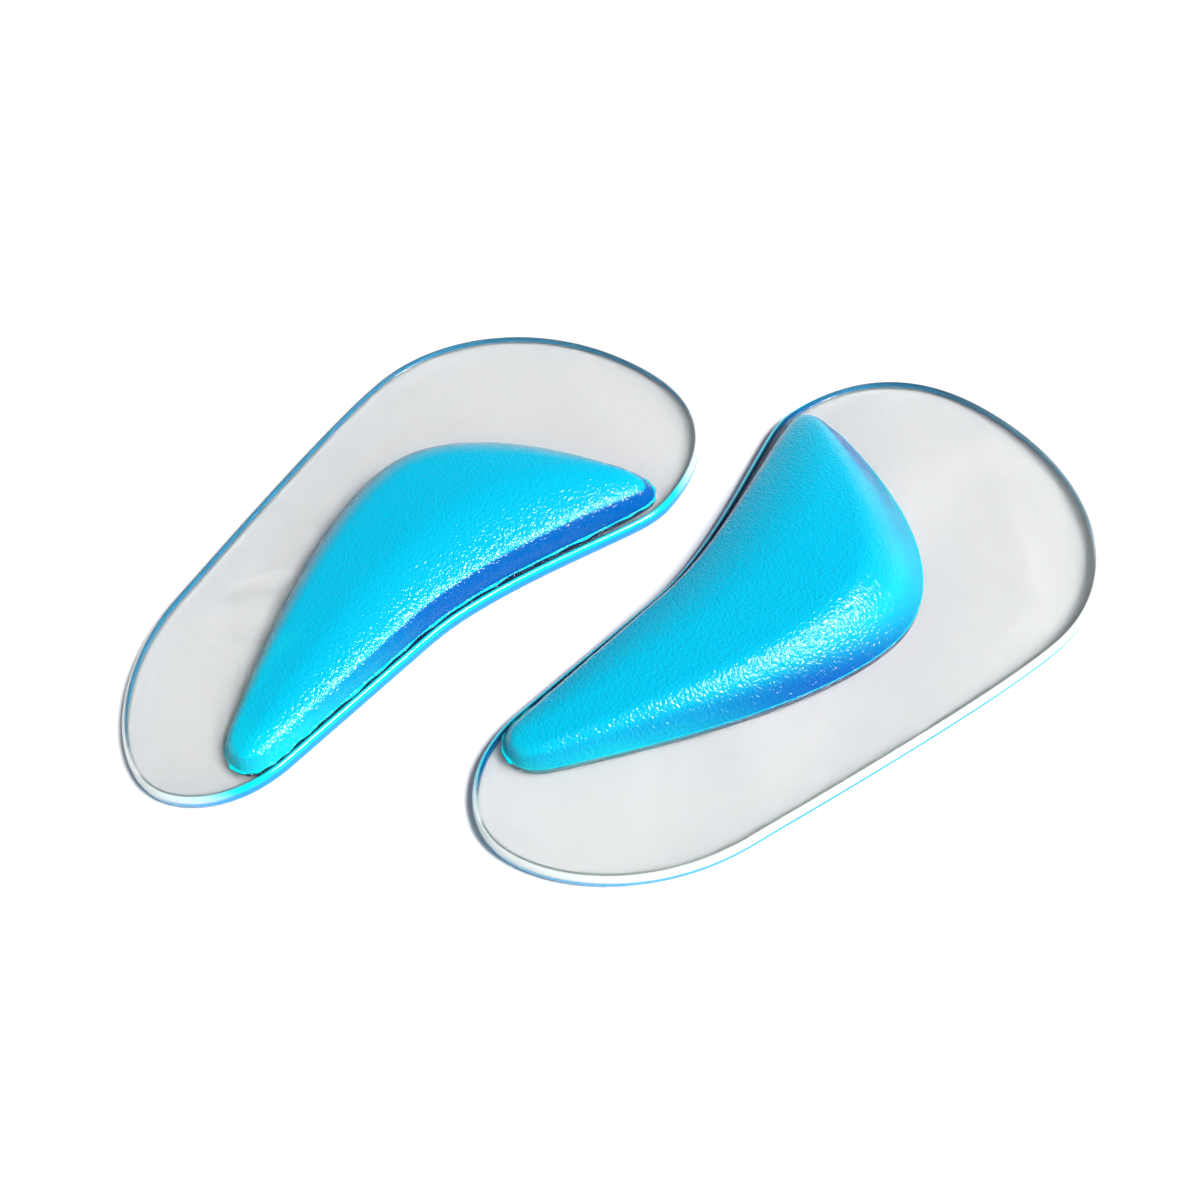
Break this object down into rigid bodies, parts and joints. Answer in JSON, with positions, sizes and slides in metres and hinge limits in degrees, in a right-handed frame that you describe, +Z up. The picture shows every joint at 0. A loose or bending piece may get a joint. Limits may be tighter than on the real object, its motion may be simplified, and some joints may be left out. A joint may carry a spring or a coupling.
{
  "type": "arch-support insole pair",
  "caption": "Left and right self-adhesive clear gel insoles with a soft blue gel dome under each arch, lying on their release films.",
  "frame": {"origin": "on the resting surface, under the middle of the pair's overall box", "axes": "+Y from heel to toe, +X towards the right foot's insole, +Z up out of the soles"},
  "size_m": [0.1484, 0.1646, 0.0119],
  "materials": {
    "clear_gel": "glossy",
    "blue_gel": "satin",
    "adhesive": "tacky",
    "release_film": "glossy"
  },
  "bodies": {
    "release_films": {"left_release_film": "release_film", "right_release_film": "release_film"},
    "left_insole": {"left_adhesive_layer": "adhesive", "left_gel_sole": "clear_gel", "left_arch_pad": "blue_gel"},
    "right_insole": {"right_adhesive_layer": "adhesive", "right_gel_sole": "clear_gel", "right_arch_pad": "blue_gel"}
  },
  "joints": [
    {"name": "left_insole_lift", "type": "slide", "parent": "release_films", "child": "left_insole", "axis": [0, 0, 1], "range_m": [0, 0.05]},
    {"name": "right_insole_lift", "type": "slide", "parent": "release_films", "child": "right_insole", "axis": [0, 0, 1], "range_m": [0, 0.05]}
  ]
}
